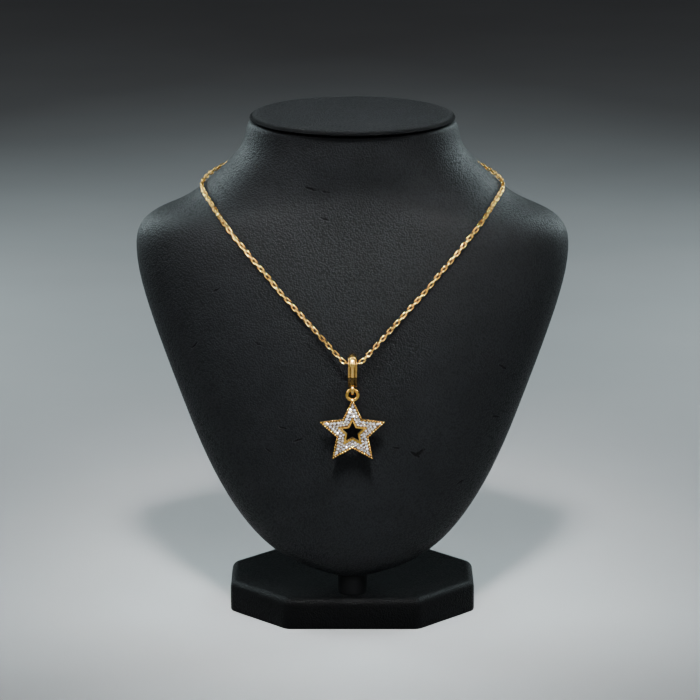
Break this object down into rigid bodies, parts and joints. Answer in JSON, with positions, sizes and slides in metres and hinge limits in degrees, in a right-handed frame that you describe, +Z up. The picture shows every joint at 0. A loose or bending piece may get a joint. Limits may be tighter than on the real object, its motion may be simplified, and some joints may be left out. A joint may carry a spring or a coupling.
{
  "type": "star pendant on a link chain, worn by a neck bust",
  "caption": "Pavé star pendant with a ribbed bail, hanging free on an oval-link chain that a leatherette-covered neck bust on a post and base wears.",
  "frame": {"origin": "middle of the base's underside", "axes": "+Z up, -Y towards the front of the bust, where the pendant hangs, +X to the viewer's right"},
  "size_m": [0.215, 0.123, 0.254],
  "materials": {
    "base_cover": "fine grained leatherette, matte",
    "post_paint": "satin black",
    "bust_cover": "fine grained leatherette, satin",
    "cap_cover": "fine grained leatherette, satin",
    "chain_gold": "polished gold",
    "clasp_gold": "polished gold",
    "bail_gold": "polished gold",
    "star_gold": "polished gold",
    "stones": "cut, clear"
  },
  "bodies": {
    "stand": {"base": "base_cover", "post": "post_paint", "bust": "bust_cover", "neck_cap": "cap_cover", "chain": "chain_gold", "clasp": "clasp_gold"},
    "bail": {"bail": "bail_gold"},
    "star": {"star_setting": "star_gold", "stones": "stones"}
  },
  "joints": [
    {"name": "bail_swing", "type": "hinge", "parent": "stand", "child": "bail", "pos_m": [0, -0.06727, 0.14359], "axis": [-1, 0, 0], "range_deg": [-2, 70]},
    {"name": "star_swing", "type": "hinge", "parent": "bail", "child": "star", "pos_m": [0, -0.06727, 0.13084], "axis": [-1, 0, 0], "range_deg": [-4, 80]}
  ]
}
